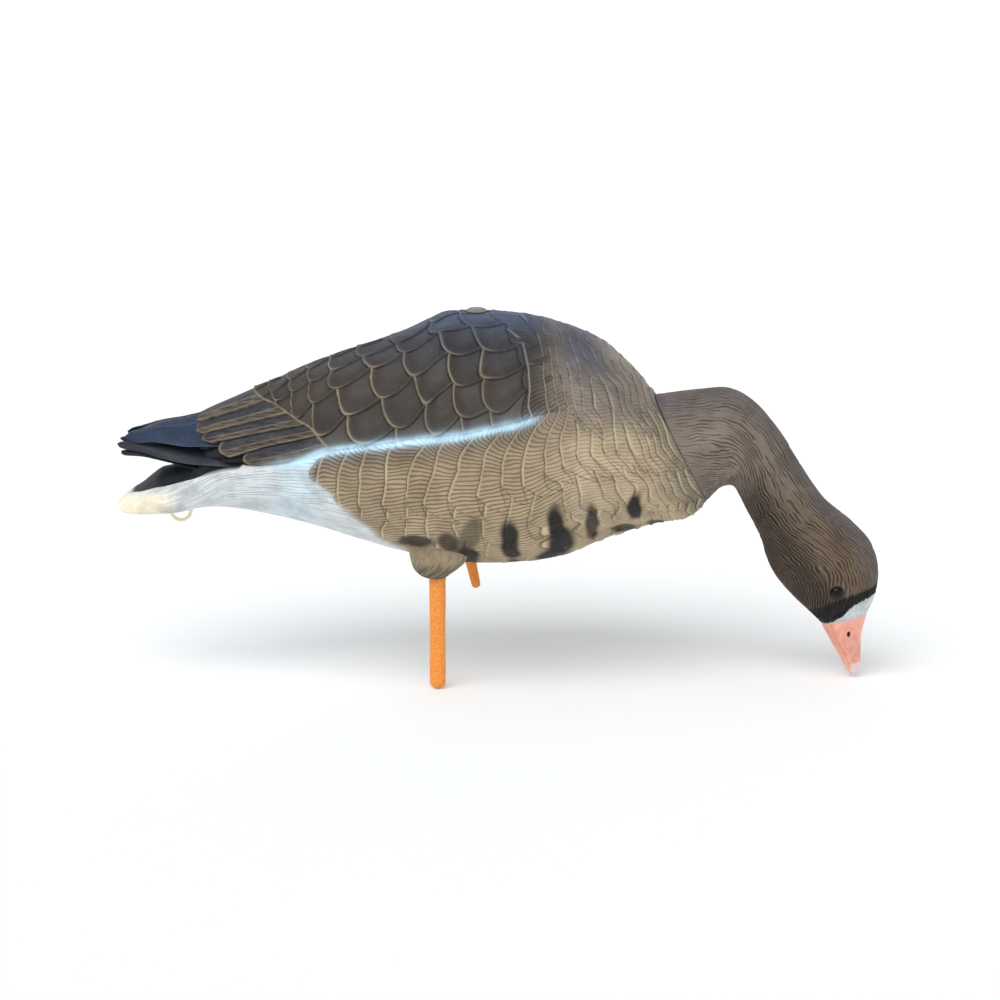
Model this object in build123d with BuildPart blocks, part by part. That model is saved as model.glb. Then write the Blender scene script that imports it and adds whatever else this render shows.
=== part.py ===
# Full-body goose decoy in a feeding pose, on a socket that slips over a ground stake.
# Frame: +X towards the breast, +Y to the bird's left, +Z up, in millimetres. The origin is the centre of
# the stake socket's mouth, under the belly.
# The body is one hollow moulding with its folded wings, thighs and tail. Head and neck are a second
# moulding, which pushes into the breast on a round spigot and can turn there. The body spins on the
# stake tube. Two leg pegs push up into the thighs, and a tether ring hangs under the tail.

from build123d import *
import math
import os

os.makedirs("parts", exist_ok=True)

# Mouldings
wall = 3.0
running = 0.05                  # radial clearance of a turning or sliding fit
joint_gap = 0.3                 # air between the head's rim and the body's rim

# A station is its top point (x, z), its bottom point (x, z) and the half width between them.
body_stations = [
    ((159, 152), (207, 58), 46),
    ((137, 178), (190, 44.5), 62),
    ((109, 203), (163, 38.5), 76),
    ((73, 217.5), (120, 26), 88),
    ((37, 225), (70, 6.5), 96),
    ((0, 227.5), (15, 0.5), 100),
    ((-40, 225), (-45, 6), 98),
    ((-110, 196), (-95, 19.5), 91),
    ((-160, 176.5), (-135, 32.5), 80),
    ((-210, 154.5), (-165, 42), 66),
    ((-260, 132), (-185, 48), 46),
]
neck_stations = [
    ((159, 152), (207, 58), 45),
    ((199, 157), (217.5, 69), 42),
    ((226, 158), (226, 71.5), 39),
    ((249, 145), (231, 69.5), 36),
    ((271, 119), (235.5, 62), 33),
    ((286, 95), (242, 49), 31),
    ((300, 73), (248.5, 37), 31),
]
head_stations = [
    neck_stations[-1],
    ((314, 55.5), (255.5, 22), 32),
    ((335.5, 38), (261, 4), 34),
    ((353.5, 18), (270, -13), 36),
    ((360.5, -5), (284.5, -30), 34),
    ((358.5, -29), (299.5, -44.5), 27),
    ((352.5, -42), (311.5, -54), 19),
]
bill_stations = [
    ((352.5, -41), (311.5, -53), 17.5),
    ((348, -52), (316, -61), 15.5),
    ((345.5, -68.5), (323, -76), 13),
    ((345, -84), (328.5, -88), 11),
    ((343.5, -96), (332, -98), 8.5),
    ((340, -102.5), (335.5, -103.5), 4),
]

# The tail is a fan with a dished underside: x, top, side edge's height, rise of the dish, half width.
tail_stations = [
    (-180, 104, 68, 2, 42),
    (-222, 98, 56, 3, 50),
    (-266, 89, 57.5, 3, 47),
    (-300, 72, 53.5, 2, 38),
    (-314, 57, 51, 1, 27),
    (-322, 52, 50, 0.5, 10),
]
# Folded wing tips over the tail: x, distance from the middle, height, half width, half height.
wing_tip_stations = [
    (-232, 27, 112, 19, 18),
    (-280, 21, 106, 13, 14),
    (-308, 16, 102, 7, 9),
    (-321, 13, 100, 2.5, 3),
]
# Thighs under the belly: height, length and width of each level section, about the leg's axis.
thigh_stations = [
    (46, 64, 38),
    (18, 52, 34),
    (4, 34, 27),
    (-4.7, 21, 20),
]

# Stake socket, from the mouth up
stake_bore = 5.1                # takes a 10 mm stake
stake_depth = 190.0
tube_radius = 7.5
tube_top = 206.0
plug_radius = 5.6               # end plug in the top of the tube
plug_head = 2.0
nose_radius = 4.0
nose_length = 9.0
washer_thickness = 1.0
bushing_radius = 11.0
bushing_flange = 14.0
belly_boss_top = 12.0
belly_boss_radius = 16.0
keeper_radius = 11.0            # ring on the tube, above the belly bushing
keeper_height = 5.0

# Back cap
cap_radius = 9.0
cap_rise = 3.6
cap_stem = 7.0
back_boss_radius = 13.0
back_boss_bottom = 215.0
back_height = 227.5

# Neck joint
flange = 6.0
collar_bore = 29.0
collar_radius = 32.5
collar_length = 34.0
spigot_radius = 28.0
spigot_bore = 23.0
spigot_length = 32.0
groove_radius = 26.0
friction_depth = 16.0           # from the joint's plane to the middle of the friction ring
friction_width = 4.0
stop_radius = 34.5              # circle that the turn stop's pin runs on
stop_pin_radius = 2.0
stop_depth = 3.0
turn_limit = 60.0               # degrees each way

# Eyes
eye_centre = (322, 29.5, -20.5)
eye_radius = 7.0
eye_back = 24.0

# Legs: where the leg leaves the thigh (x), its lean in degrees, its length, and its sizes there and at
# its end
leg_spread = 45.0
thigh_bottom = -4.7
legs = {
    "right": (-34.0, 0.0, 102.0, (14.4, 11.6), (14.0, 11.2)),
    "left": (-8.2, 12.5, 33.0, (11.0, 10.4), (8.0, 7.6)),
}
peg_radius = 4.5
peg_length = 38.0
sleeve_radius = 7.0
sleeve_length = 42.0

# Tail ring and its eyelet
ring_centre = (-266, 0, 45)
ring_radius = 8.8
ring_wire = 1.65
eyelet_centre = (-266, 0, 54.2)
eyelet_radius = 3.6
eyelet_wire = 1.2
shank_top = 68.0
nut_bottom = 64.1
nut_size = 6.0                  # across flats
nut_height = 2.6


# The plane of a station: origin half way up, X to the bird's left, Y from the bottom point to the top one.
def station_plane(top, bottom):
    length = math.dist(top, bottom)
    up = ((top[0] - bottom[0]) / length, (top[1] - bottom[1]) / length)
    middle = ((top[0] + bottom[0]) / 2, 0, (top[1] + bottom[1]) / 2)
    return Plane(origin=middle, x_dir=(0, 1, 0), z_dir=(up[1], 0, -up[0]))


# The oval of a station, pulled in by inset and moved along its plane's normal by shift.
def oval(top, bottom, half_width, inset=0.0, shift=0.0):
    half_height = math.dist(top, bottom) / 2
    with BuildSketch(station_plane(top, bottom).offset(shift)) as section:
        Ellipse(half_width - inset, half_height - inset)
    return section.sketch


# The hollow inside a moulding: each oval is pulled in by the wall, and the first and the last are moved
# along their normals, out through an open end or in from a closed one.
def hollow(stations, first, last):
    shifts = [first] + [0.0] * (len(stations) - 2) + [last]
    return [oval(*station, inset=wall, shift=shift) for station, shift in zip(stations, shifts)]


# A tail section: a half ellipse over a dished underside.
def tail_section(x, top, edge, rise, half_width, inset=0.0):
    with BuildSketch(Plane(origin=(x, 0, edge + inset), x_dir=(0, 1, 0), z_dir=(1, 0, 0))) as section:
        reach = half_width - 2 * inset
        with BuildLine():
            EllipticalCenterArc((0, 0), reach, top - edge - 2 * inset, arc_size=180)
            ThreePointArc((-reach, 0), (0, rise), (reach, 0))
        make_face()
    return section.sketch


# A section across a folded wing tip on the side of the given sign.
def tip_section(side, x, across, height, half_width, half_height):
    plane = Plane(origin=(x, side * across, height), x_dir=(0, 1, 0), z_dir=(1, 0, 0))
    with BuildSketch(plane) as section:
        Ellipse(half_width, half_height)
    return section.sketch


# A level section through a thigh.
def thigh_section(x, side, height, length, width):
    with BuildSketch(Plane(origin=(x, side * leg_spread, height))) as section:
        Ellipse(length / 2, width / 2)
    return section.sketch


# The plane at a leg's mouth: its normal points up the leg's axis into the thigh.
def leg_plane(name):
    x, lean = legs[name][:2]
    side = 1 if name == "left" else -1
    angle = math.radians(lean)
    return Plane(
        origin=(x, side * leg_spread, thigh_bottom),
        x_dir=(math.cos(angle), 0, math.sin(angle)),
        z_dir=(-math.sin(angle), 0, math.cos(angle)),
    )


# Names a finished piece and writes it.
def save(part, label):
    part.label = label
    export_step(part, f"parts/{label}.step")


neck = station_plane(*body_stations[0][:2])       # Z points out of the breast, Y up the joint line
eye_points = {"right": (eye_centre[0], -eye_centre[1], eye_centre[2]), "left": eye_centre}

# ---- Body -------------------------------------------------------------------------------------------
with BuildPart() as body_shell:
    loft(sections=[oval(*station) for station in body_stations])
    loft(sections=[tail_section(*station) for station in tail_stations])
    for side in (-1, 1):
        loft(sections=[tip_section(side, *station) for station in wing_tip_stations])
        leg_x = legs["left" if side > 0 else "right"][0]
        loft(sections=[thigh_section(leg_x, side, *station) for station in thigh_stations])
    # Hollow body and tail
    loft(sections=hollow(body_stations, wall, wall), mode=Mode.SUBTRACT)
    tail_hollow = [tail_section(*station, inset=wall) for station in tail_stations[:4]]
    loft(sections=tail_hollow, mode=Mode.SUBTRACT)
    # Bosses for the belly bushing and the back cap
    with BuildSketch(Plane.XY.offset(wall + 1)):
        Circle(belly_boss_radius)
    extrude(amount=belly_boss_top - wall - 1)
    with BuildSketch(Plane.XY.offset(back_boss_bottom)):
        Circle(back_boss_radius)
    extrude(amount=back_height - wall + 1 - back_boss_bottom)
    with BuildSketch(Plane.XY.offset(-5)):
        Circle(bushing_radius)
    extrude(amount=belly_boss_top + 6, mode=Mode.SUBTRACT)
    with BuildSketch(Plane.XY.offset(back_boss_bottom - 1)):
        Circle(cap_stem)
    extrude(amount=30, mode=Mode.SUBTRACT)
    with BuildSketch(Plane.XY.offset(back_height)):
        Circle(cap_radius)
    extrude(amount=30, mode=Mode.SUBTRACT)
    # Holes for the leg sleeves and the eyelet's shank
    for name in legs:
        with BuildSketch(leg_plane(name).offset(-5)):
            Circle(sleeve_radius)
        extrude(amount=sleeve_length + 8, mode=Mode.SUBTRACT)
    with BuildSketch(Plane.XY.offset(ring_centre[2])):
        with Locations(ring_centre[:2]):
            Circle(eyelet_wire)
    extrude(amount=shank_top - ring_centre[2], mode=Mode.SUBTRACT)
save(body_shell.part, "body_shell")

with BuildPart() as belly_bushing:
    with BuildSketch(Plane.XY.offset(wall)):
        Circle(bushing_radius)
    extrude(amount=belly_boss_top - wall)
    with BuildSketch(Plane.XY.offset(belly_boss_top)):
        Circle(bushing_flange)
    extrude(amount=2)
    Hole(tube_radius + running)
save(belly_bushing.part, "belly_bushing")

# ---- Stake socket -----------------------------------------------------------------------------------
with BuildPart() as stake_tube:
    with BuildSketch():
        Circle(tube_radius)
    extrude(amount=tube_top)
    with BuildSketch():
        Circle(stake_bore)
    extrude(amount=stake_depth, mode=Mode.SUBTRACT)
    with BuildSketch(Plane.XY.offset(stake_depth)):
        Circle(plug_radius)
    extrude(amount=tube_top - stake_depth, mode=Mode.SUBTRACT)
save(stake_tube.part, "stake_tube")

with BuildPart() as tube_end_plug:
    with BuildSketch(Plane.XY.offset(stake_depth)):
        Circle(plug_radius)
    extrude(amount=tube_top - stake_depth)
    with BuildSketch(Plane.XY.offset(tube_top)):
        Circle(tube_radius)
    extrude(amount=plug_head)
    with BuildSketch(Plane.XY.offset(tube_top + plug_head)):
        Circle(nose_radius)
    extrude(amount=nose_length)
    chamfer(tube_end_plug.faces().sort_by(Axis.Z)[-1].edges(), 0.8)
save(tube_end_plug.part, "tube_end_plug")

with BuildPart() as thrust_washer:
    with BuildSketch(Plane.XY.offset(tube_top + plug_head)):
        Circle(tube_radius - 0.3)
        Circle(nose_radius + running, mode=Mode.SUBTRACT)
    extrude(amount=washer_thickness)
save(thrust_washer.part, "thrust_washer")

with BuildPart() as tube_keeper:
    with BuildSketch(Plane.XY.offset(belly_boss_top + 2 + joint_gap)):
        Circle(keeper_radius)
        Circle(tube_radius, mode=Mode.SUBTRACT)
    extrude(amount=keeper_height)
    chamfer(tube_keeper.faces().sort_by(Axis.Z)[-1].edges().sort_by(SortBy.LENGTH)[-1], 1)
save(tube_keeper.part, "tube_keeper")

# ---- Back cap: a domed plug whose stem is the tube's upper bearing -----------------------------------
with BuildPart() as back_cap:
    stem_bottom = tube_top + plug_head + washer_thickness + 0.1
    with BuildSketch(Plane.XY.offset(stem_bottom)):
        Circle(cap_stem)
    extrude(amount=back_height - stem_bottom)
    with BuildSketch(Plane.XY.offset(back_height)):
        Circle(cap_radius)
    extrude(amount=cap_rise)
    fillet(back_cap.faces().sort_by(Axis.Z)[-1].edges(), cap_rise - 0.8)
    with BuildSketch(Plane.XY.offset(stem_bottom)):
        Circle(nose_radius + running)
    extrude(amount=nose_length, mode=Mode.SUBTRACT)
save(back_cap.part, "back_cap")

# ---- Neck joint -------------------------------------------------------------------------------------
with BuildPart() as neck_collar:
    loft(sections=hollow(body_stations, wall, wall))
    with BuildSketch(neck.offset(-flange)):
        Rectangle(200, 200)
    extrude(amount=flange, mode=Mode.INTERSECT)
    with BuildSketch(neck.offset(-collar_length)):
        Circle(collar_radius)
    extrude(amount=collar_length)
    with BuildSketch(neck.offset(-collar_length)):
        Circle(collar_bore)
    extrude(amount=collar_length, mode=Mode.SUBTRACT)
    with BuildSketch(neck):
        with BuildLine(mode=Mode.PRIVATE) as stop_path:
            CenterArc((0, 0), stop_radius, 90 - turn_limit, 2 * turn_limit)
        SlotArc(stop_path.edge(), 2 * (stop_pin_radius + joint_gap))
    extrude(amount=-stop_depth, mode=Mode.SUBTRACT)
save(neck_collar.part, "neck_collar")

with BuildPart() as friction_ring:
    with BuildSketch(neck.offset(-friction_depth - friction_width / 2)):
        Circle(collar_bore - running)
        Circle(groove_radius + running, mode=Mode.SUBTRACT)
    extrude(amount=friction_width)
save(friction_ring.part, "neck_friction_ring")

with BuildPart() as neck_plug:
    loft(sections=hollow(neck_stations, -wall, 0))
    with BuildSketch(neck.offset(joint_gap)):
        Rectangle(200, 200)
    extrude(amount=flange, mode=Mode.INTERSECT)
    with BuildSketch(neck.offset(-spigot_length)):
        Circle(spigot_radius)
    extrude(amount=spigot_length + joint_gap)
    with BuildSketch(neck.offset(-friction_depth - friction_width / 2 - 0.1)):
        Circle(spigot_radius + 1)
        Circle(groove_radius, mode=Mode.SUBTRACT)
    extrude(amount=friction_width + 0.2, mode=Mode.SUBTRACT)
    with BuildSketch(neck.offset(-spigot_length)):
        Circle(spigot_bore)
    extrude(amount=spigot_length + joint_gap + flange, mode=Mode.SUBTRACT)
    with BuildSketch(neck):
        with Locations((0, stop_radius)):
            Circle(stop_pin_radius)
    extrude(amount=joint_gap + flange, mode=Mode.SUBTRACT)
save(neck_plug.part, "neck_plug")

with BuildPart() as turn_stop_pin:
    with BuildSketch(neck.offset(0.5 - stop_depth)):
        with Locations((0, stop_radius)):
            Circle(stop_pin_radius)
    extrude(amount=stop_depth - 0.5 + joint_gap + flange)
save(turn_stop_pin.part, "turn_stop_pin")

# ---- Head -------------------------------------------------------------------------------------------
with BuildPart() as head_shell:
    rim = oval(*neck_stations[0], shift=joint_gap)
    loft(sections=[rim] + [oval(*station) for station in neck_stations[1:]])
    loft(sections=[oval(*station) for station in head_stations])
    loft(sections=[oval(*station) for station in bill_stations])
    loft(sections=hollow(neck_stations, -wall, 0), mode=Mode.SUBTRACT)
    loft(sections=hollow(head_stations, 0, -wall), mode=Mode.SUBTRACT)
    with Locations(*eye_points.values()):
        Sphere(eye_radius, mode=Mode.SUBTRACT)
save(head_shell.part, "head_shell")

for name, point in eye_points.items():
    facing = 1 if name == "left" else -1
    with BuildPart() as eye:
        with Locations(point):
            Sphere(eye_radius)
        with BuildSketch(Plane.XZ.offset(-facing * eye_back)):
            with Locations((point[0], point[2])):
                Rectangle(3 * eye_radius, 3 * eye_radius)
        extrude(amount=-facing * 3 * eye_radius, mode=Mode.INTERSECT)
    save(eye.part, f"{name}_eye")

# ---- Legs -------------------------------------------------------------------------------------------
for name, (leg_x, lean, length, mouth_size, end_size) in legs.items():
    mouth = leg_plane(name)
    with BuildPart() as sleeve:
        with BuildSketch(mouth.offset(0.5)):
            Circle(sleeve_radius)
        extrude(amount=sleeve_length)
        with BuildSketch(mouth.offset(0.5)):
            Circle(peg_radius + running)
        extrude(amount=peg_length, mode=Mode.SUBTRACT)
    save(sleeve.part, f"{name}_leg_sleeve")

    with BuildPart() as leg:
        with BuildSketch(mouth):
            Ellipse(mouth_size[0] / 2, mouth_size[1] / 2)
        with BuildSketch(mouth.offset(-length)):
            Ellipse(end_size[0] / 2, end_size[1] / 2)
        loft()
        fillet(leg.faces().sort_by(Axis.Z)[0].edges(), 0.4 * end_size[1])
        with BuildSketch(mouth):
            Circle(peg_radius)
        extrude(amount=peg_length)
        chamfer(leg.faces().sort_by(Axis.Z)[-1].edges(), 0.8)
    save(leg.part, f"{name}_leg")

# ---- Tail ring --------------------------------------------------------------------------------------
with BuildPart() as tail_ring:
    with BuildSketch(Plane.XY.offset(ring_centre[2])):
        with Locations((ring_centre[0] + ring_radius, 0)):
            Circle(ring_wire)
    revolve(axis=Axis(ring_centre, (0, 1, 0)))
save(tail_ring.part, "tail_ring")

with BuildPart() as ring_eyelet:
    with BuildSketch(Plane.XY.offset(eyelet_centre[2])):
        with Locations((eyelet_centre[0], eyelet_radius)):
            Circle(eyelet_wire)
    revolve(axis=Axis(eyelet_centre, (1, 0, 0)))
    with BuildSketch(Plane.XY.offset(eyelet_centre[2] + eyelet_radius)):
        with Locations(eyelet_centre[:2]):
            Circle(eyelet_wire)
    extrude(amount=shank_top - eyelet_centre[2] - eyelet_radius)
save(ring_eyelet.part, "ring_eyelet")

with BuildPart() as eyelet_nut:
    with BuildSketch(Plane.XY.offset(nut_bottom)):
        with Locations(eyelet_centre[:2]):
            RegularPolygon(nut_size / 2, 6, major_radius=False)
            Circle(eyelet_wire, mode=Mode.SUBTRACT)
    extrude(amount=nut_height)
save(eyelet_nut.part, "eyelet_nut")
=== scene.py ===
import bmesh
import bpy
import numpy as np
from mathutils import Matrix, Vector


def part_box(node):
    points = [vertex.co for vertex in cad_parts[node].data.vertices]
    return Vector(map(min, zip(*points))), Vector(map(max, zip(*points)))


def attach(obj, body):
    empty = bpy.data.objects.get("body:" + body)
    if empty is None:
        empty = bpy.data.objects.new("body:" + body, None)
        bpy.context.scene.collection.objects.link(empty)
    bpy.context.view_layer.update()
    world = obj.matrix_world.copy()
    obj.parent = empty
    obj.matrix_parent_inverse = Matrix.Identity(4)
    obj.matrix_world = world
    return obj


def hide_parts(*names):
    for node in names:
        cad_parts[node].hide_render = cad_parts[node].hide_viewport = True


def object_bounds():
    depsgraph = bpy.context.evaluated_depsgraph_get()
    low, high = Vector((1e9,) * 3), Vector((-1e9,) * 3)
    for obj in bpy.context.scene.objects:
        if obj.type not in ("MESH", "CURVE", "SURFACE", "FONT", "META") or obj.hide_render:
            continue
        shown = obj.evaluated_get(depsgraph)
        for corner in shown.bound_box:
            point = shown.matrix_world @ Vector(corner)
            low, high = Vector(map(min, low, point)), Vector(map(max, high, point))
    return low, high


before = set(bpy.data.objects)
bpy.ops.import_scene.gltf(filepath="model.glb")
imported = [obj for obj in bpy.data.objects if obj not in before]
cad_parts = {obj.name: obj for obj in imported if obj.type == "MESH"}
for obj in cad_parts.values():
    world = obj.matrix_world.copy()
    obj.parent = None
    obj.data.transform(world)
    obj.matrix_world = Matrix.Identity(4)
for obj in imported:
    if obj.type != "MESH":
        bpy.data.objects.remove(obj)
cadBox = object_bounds()
print("frame loaded:", len(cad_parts), "nodes")

bodyLow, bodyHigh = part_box("body_shell")
mm = (bodyHigh.x - bodyLow.x) / 529        # one millimetre of the drawing, taken from the body's length
# How far the side view shifts per unit of distance from the middle
viewLean = {"back": 0.0175, "down": 0.231}


# Curves, grids and meshes

# Smooth line through rows of numbers: cubic spans whose slopes are half the step between the neighbours
def smoothRows(rows, t):
    rows = np.asarray(rows, float)
    slopes = np.gradient(rows, axis=0)
    i = np.clip(np.floor(t).astype(int), 0, len(rows) - 2)
    f = (np.asarray(t) - i)[..., None]
    a, b, sa, sb = rows[i], rows[i + 1], slopes[i], slopes[i + 1]
    return a + f * sa + f * f * (3 * (b - a) - 2 * sa - sb) + f ** 3 * (2 * (a - b) + sa + sb)


# Soft random heights from -0.5 to 0.5: random values on whole numbers, eased between them
def cloud(x, y, seed):
    table = np.random.default_rng(seed).random((128, 128))
    xi, yi = np.floor(x).astype(int), np.floor(y).astype(int)
    fx, fy = x - xi, y - yi
    fx, fy = fx * fx * (3 - 2 * fx), fy * fy * (3 - 2 * fy)
    near = table[xi % 128, yi % 128] * (1 - fx) + table[(xi + 1) % 128, yi % 128] * fx
    far = table[xi % 128, (yi + 1) % 128] * (1 - fx) + table[(xi + 1) % 128, (yi + 1) % 128] * fx
    return near * (1 - fy) + far * fy - 0.5


# 0 below low, 1 above high, eased between
def ease(value, low, high):
    f = np.clip((value - low) / (high - low), 0, 1)
    return f * f * (3 - 2 * f)


# A soft line of the given width round value 0
def line(value, width):
    return np.exp(-(value / width) ** 2)


def mix(a, b, amount):
    return a + (b - a) * amount


# Screen colour from 0 to 255 to the linear light that a shader takes
def tint(red, green, blue):
    c = np.array([red, green, blue]) / 255
    return np.where(c <= 0.04045, c / 12.92, ((c + 0.055) / 1.055) ** 2.4)


def brush(paint, colour, amount):
    return mix(paint, colour, np.clip(amount, 0, 1)[..., None])


# Corner numbers of the four-sided faces of a grid, joined round its second direction if it is wrapped
def gridFaces(rows, columns, wrap=False):
    index = np.arange(rows * columns).reshape(rows, columns)
    if wrap:
        index = np.hstack([index, index[:, :1]])
    return np.stack([index[:-1, :-1], index[:-1, 1:], index[1:, 1:], index[1:, :-1]], -1).reshape(-1, 4)


# Volume that the faces enclose with a point, as the sum of their cones: it is negative if they face inwards
def coneVolume(points, faces, heart):
    a, b, c, d = [points[faces[:, i]] - heart for i in range(4)]
    return np.sum(np.cross(a, b) * c) + np.sum(np.cross(a, c) * d)


# A mesh object from points and faces, with colours and numbers on its points. Faces look away from heart.
def makePiece(name, points, faces, body, material, stands=(), paint=None, numbers=None,
              heart=None):
    heart = points.mean(0) if heart is None else np.array(heart)
    faces = faces if coneVolume(points, faces, heart) > 0 else faces[:, ::-1]
    mesh = bpy.data.meshes.new(name)
    mesh.vertices.add(len(points))
    mesh.vertices.foreach_set("co", (points * mm).astype(np.float32).ravel())
    mesh.loops.add(faces.size)
    mesh.loops.foreach_set("vertex_index", faces.astype(np.int32).ravel())
    mesh.polygons.add(len(faces))
    mesh.polygons.foreach_set("loop_start", np.arange(0, faces.size, 4, dtype=np.int32))
    mesh.update(calc_edges=True)
    if paint is not None:
        layer = mesh.attributes.new("paint", "FLOAT_COLOR", "POINT")
        layer.data.foreach_set("color", np.c_[paint, np.ones(len(paint))].astype(np.float32).ravel())
    for key, values in (numbers or {}).items():
        layer = mesh.attributes.new(key, "FLOAT", "POINT")
        layer.data.foreach_set("value", values.astype(np.float32).ravel())
    work = bmesh.new()
    work.from_mesh(mesh)
    bmesh.ops.remove_doubles(work, verts=work.verts, dist=0.01 * mm)
    work.to_mesh(mesh)
    work.free()
    mesh.polygons.foreach_set("use_smooth", np.ones(len(mesh.polygons), bool))
    mesh.materials.append(material)
    piece = bpy.data.objects.new(name, mesh)
    bpy.context.scene.collection.objects.link(piece)
    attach(piece, body)
    if stands:
        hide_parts(*stands)
    return piece


# Outward directions of a grid of points, from the cross product of its two runs
def gridNormals(points, wrap=False):
    along = np.gradient(points, axis=0)
    if wrap:
        across = np.roll(points, -1, 1) - np.roll(points, 1, 1)
    else:
        across = np.gradient(points, axis=1)
    normal = np.cross(across, along)
    normal = normal / np.maximum(np.linalg.norm(normal, axis=-1, keepdims=True), 1e-9)
    core = points.mean(1, keepdims=True) * (1, 0, 1)
    return normal if np.sum(normal * (points - core)) > 0 else -normal


# Evenly spaced station numbers along a loft, measured on its top and bottom lines together
def evenStations(stations, count):
    fine = np.linspace(0, len(stations) - 1, 4000)
    rows = smoothRows(stations, fine)
    above, under = np.diff(rows[:, :2], axis=0), np.diff(rows[:, 2:4], axis=0)
    steps = np.linalg.norm(above, axis=1) + np.linalg.norm(under, axis=1)
    length = np.r_[0, np.cumsum(steps)]
    return np.interp(np.linspace(0, length[-1], count), length, fine)


# Loft: each station is a rounded box between its top and bottom points, angle 0 at the top.
# power 1 is an ellipse and less is squarer.
def loft(stations, t, angle):
    row = smoothRows(stations, t)[:, None, :]
    c, s = np.cos(angle)[None, :], np.sin(angle)[None, :]
    power = mix(row[..., 6], row[..., 5], (1 + c) / 2)
    up = np.sign(c) * np.abs(c) ** power
    out = np.sign(s) * np.abs(s) ** power
    x = mix(row[..., 2], row[..., 0], (1 + up) / 2)
    z = mix(row[..., 3], row[..., 1], (1 + up) / 2)
    return np.stack([x, -out * row[..., 4], z], -1)


# Side view of a point on either flank: how far forward and how high it looks from the side
def sideView(points):
    off = np.abs(points[..., 1])
    return points[..., 0] - viewLean["back"] * off, points[..., 2] - viewLean["down"] * off


# Roof of feathers. u grows towards the tips and v across them, one unit to a feather. Row i reaches past
# u = i by 1 - |2 across|^blunt, and odd rows stand half a feather across. Gives the distance to the own
# tip and past the tip that lies over it, in mm, the place across, a random number and the feather's middle.
def shingles(u, v, long, wide, blunt=2.2):
    row = np.floor(u)
    f = u - row
    shiftA = v + 0.5 * (row % 2)
    shiftB = v + 0.5 * ((row + 1) % 2)
    acrossA, acrossB = shiftA - np.floor(shiftA) - 0.5, shiftB - np.floor(shiftB) - 0.5
    reachA, reachB = 1 - np.abs(2 * acrossA) ** blunt, 2 - np.abs(2 * acrossB) ** blunt
    over = f < reachA
    slant = long / wide * 2 * blunt
    slantA = np.sqrt(1 + (slant * np.abs(2 * acrossA) ** (blunt - 1)) ** 2)
    slantB = np.sqrt(1 + (slant * np.abs(2 * acrossB) ** (blunt - 1)) ** 2)
    inside = np.where(over, (reachA - f) / slantA, (reachB - f) / slantB) * long
    past = np.where(over, 99.0, (f - reachA) / slantA * long)
    column = np.where(over, np.floor(shiftA), np.floor(shiftB))
    own = row + ~over
    chance = np.abs(np.sin(own * 127.1 + column * 311.7) * 43758.5) % 1
    middle = (own + 0.3, column + 0.5 - 0.5 * (own % 2))
    return inside, past, np.where(over, acrossA, acrossB), chance, middle


# One tier of tall feathers side by side. u grows forwards and each whole number is a feather's rear edge,
# which lies over the feather behind. A feather ends at low, rounded up towards its rear edge. Gives the
# distance from the rear edge, to the next edge, and to the end, in mm, and a random number.
def curtain(u, fall, pitch, low, ragged, seed):
    number = np.floor(u)
    f = u - number
    chance = np.abs(np.sin(number * 127.1 + seed * 311.7) * 43758.5) % 1
    end = low + ragged * (chance - 0.5) - 24 * (1 - f) ** 1.8 - fall
    return f * pitch, (1 - f) * pitch, end, chance


# Materials

class Wiring:                      # short way to add and join a material's nodes
    def __init__(self, name):
        self.material = bpy.data.materials.new(name)
        self.material.use_nodes = True
        self.tree = self.material.node_tree
        self.tree.nodes.clear()
        self.shader = self.add("ShaderNodeBsdfPrincipled")
        output = self.add("ShaderNodeOutputMaterial")
        self.join(self.shader.outputs[0], output.inputs[0])

    def add(self, kind, **settings):
        node = self.tree.nodes.new(kind)
        for key, value in settings.items():
            setattr(node, key, value)
        return node

    def join(self, a, b):
        self.tree.links.new(a, b)

    def value(self, name):
        return self.add("ShaderNodeAttribute", attribute_name=name).outputs["Fac"]

    def colour(self, name):
        return self.add("ShaderNodeAttribute", attribute_name=name).outputs["Color"]

    def math(self, operation, a, b=None):
        node = self.add("ShaderNodeMath", operation=operation)
        for socket, given in zip(node.inputs, (a, b)):
            if isinstance(given, (int, float)):
                socket.default_value = given
            elif given is not None:
                self.join(given, socket)
        return node.outputs[0]

    def noise(self, scale, detail=3, stretch=(1, 1, 1), rough=0.55):
        where = self.add("ShaderNodeTexCoord").outputs["Object"]
        place = self.add("ShaderNodeMapping")
        place.inputs["Scale"].default_value = stretch
        self.join(where, place.inputs["Vector"])
        node = self.add("ShaderNodeTexNoise")
        node.inputs["Scale"].default_value = scale
        node.inputs["Detail"].default_value = detail
        node.inputs["Roughness"].default_value = rough
        self.join(place.outputs[0], node.inputs["Vector"])
        return node.outputs["Fac"]

    def ramp(self, value, low, high, darkest=0.0, lightest=1.0):
        node = self.add("ShaderNodeMapRange")
        for key, given in (("From Min", low), ("From Max", high), ("To Min", darkest), ("To Max", lightest)):
            node.inputs[key].default_value = given
        self.join(value, node.inputs["Value"])
        return node.outputs[0]

    def blend(self, a, b, amount, kind="MIX"):
        node = self.add("ShaderNodeMix", data_type="RGBA", blend_type=kind)
        for socket, given in zip((node.inputs[0], node.inputs[6], node.inputs[7]), (amount, a, b)):
            if hasattr(given, "links"):
                self.join(given, socket)
            elif isinstance(given, (int, float)):
                socket.default_value = given
            else:
                socket.default_value = (*given, 1)
        return node.outputs[2]

    def bump(self, height, depth, strength=1.0, under=None):
        node = self.add("ShaderNodeBump")
        node.inputs["Strength"].default_value = strength
        node.inputs["Distance"].default_value = depth * mm
        self.join(height, node.inputs["Height"])
        if under is not None:
            self.join(under, node.inputs["Normal"])
        return node.outputs[0]


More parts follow.
